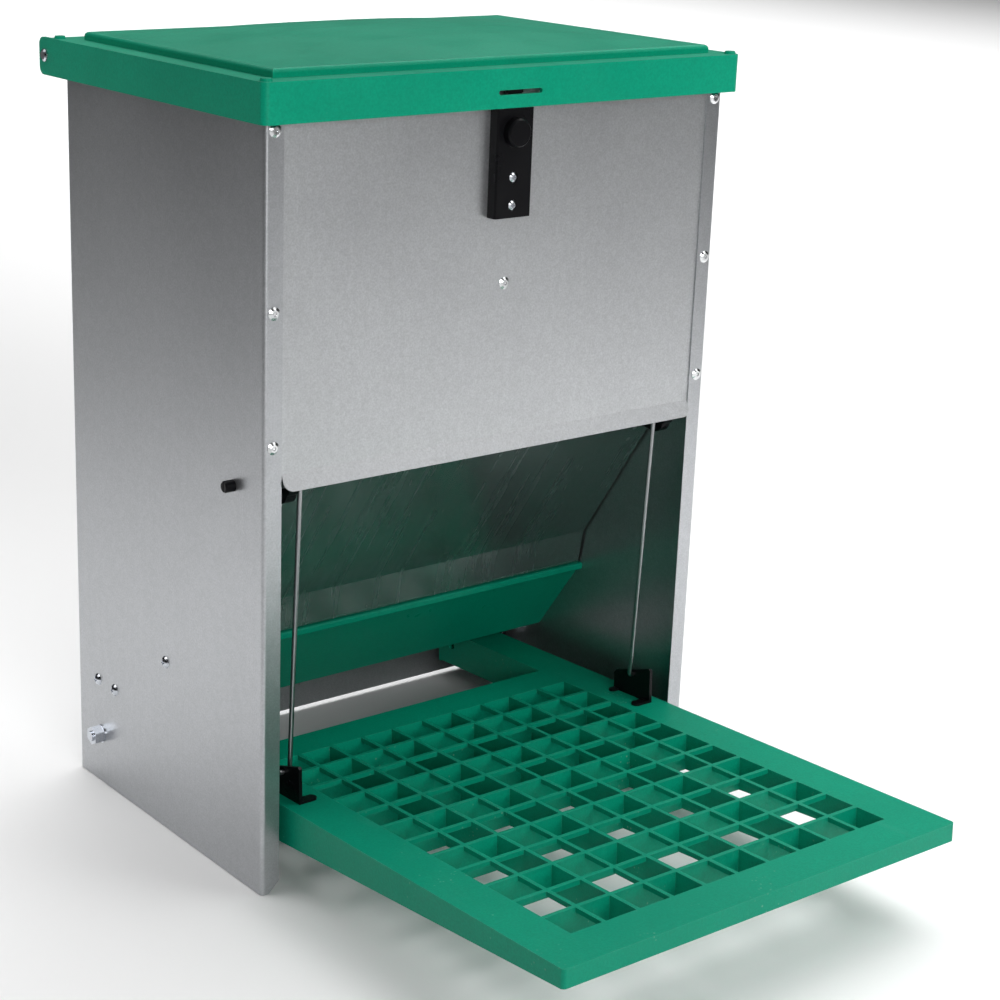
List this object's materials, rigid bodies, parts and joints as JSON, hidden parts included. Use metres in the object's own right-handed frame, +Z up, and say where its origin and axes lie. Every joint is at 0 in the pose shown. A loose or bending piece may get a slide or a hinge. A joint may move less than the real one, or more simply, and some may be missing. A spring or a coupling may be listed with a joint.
{
  "type": "gravity poultry feeder",
  "caption": "Sheet-metal gravity poultry feeder with a hinged latching lid, a feed trough, and a slotted treadle whose rods swing a flap clear of the trough.",
  "frame": {"origin": "on the ground, under the middle of the overall length and width", "axes": "+X across the feeder to its right, +Y from the treadle towards the back, +Z up"},
  "size_m": [0.421, 0.588, 0.5862],
  "materials": {
    "galvanised": "galvanised sheet, dull, fine spangle",
    "green_plastic": "moulded polypropylene, satin",
    "black_plastic": "moulded nylon, satin",
    "zinc_steel": "zinc-plated steel"
  },
  "bodies": {
    "housing": {"side_panel_left": "galvanised", "side_panel_right": "galvanised", "front_panel": "galvanised", "back_panel": "galvanised", "hopper_floor": "galvanised", "front_brace": "galvanised", "panel_rivets": "zinc_steel", "centre_rivet": "zinc_steel", "feed_trough": "green_plastic", "trough_screws": "zinc_steel", "hinge_rod": "zinc_steel", "hinge_caps": "zinc_steel", "hinge_brackets": "galvanised", "bracket_rivets": "zinc_steel", "latch_housing": "black_plastic", "latch_spring": "zinc_steel", "latch_screws": "zinc_steel", "latch_backplate": "galvanised", "pivot_bolts": "zinc_steel", "pivot_spacers": "black_plastic", "pivot_washers": "zinc_steel", "jam_nuts": "zinc_steel", "return_spring_left": "zinc_steel", "return_spring_right": "zinc_steel"},
    "lid": {"lid": "green_plastic"},
    "latch": {"latch_button": "black_plastic"},
    "treadle": {"treadle": "green_plastic", "treadle_clip_left": "black_plastic", "treadle_clip_right": "black_plastic"},
    "rods": {"rod_left": "zinc_steel", "rod_right": "zinc_steel"},
    "flap": {"flap": "galvanised", "crank_left": "black_plastic", "crank_right": "black_plastic", "crank_rivets": "zinc_steel"}
  },
  "joints": [
    {"name": "treadle_hinge", "type": "hinge", "parent": "housing", "child": "treadle", "pos_m": [0, 0.23295, 0.0406], "axis": [1, 0, 0], "range_deg": [0, 2.95], "stiffness_Nm_per_rad": 8, "springref_deg": -25.78},
    {"name": "rod_hinge", "type": "hinge", "parent": "treadle", "child": "rods", "pos_m": [0, 0.02565, 0.0795], "axis": [1, 0, 0], "range_deg": [-3.8, 0.1]},
    {"name": "flap_hinge", "type": "hinge", "parent": "housing", "child": "flap", "pos_m": [0, 0.04165, 0.2936], "axis": [1, 0, 0], "range_deg": [0, 24.1]},
    {"name": "lid_hinge", "type": "hinge", "parent": "housing", "child": "lid", "pos_m": [0, 0.28495, 0.5565], "axis": [-1, 0, 0], "range_deg": [0, 100]},
    {"name": "latch_press", "type": "slide", "parent": "housing", "child": "latch", "axis": [0, 1, 0], "range_m": [0, 0.0026], "stiffness_N_per_m": 600, "springref_m": -0.002}
  ],
  "couplings": [
    {"joint": "rod_hinge", "follows": "treadle_hinge", "ratio": -1.255},
    {"joint": "flap_hinge", "follows": "treadle_hinge", "ratio": 8.15}
  ]
}
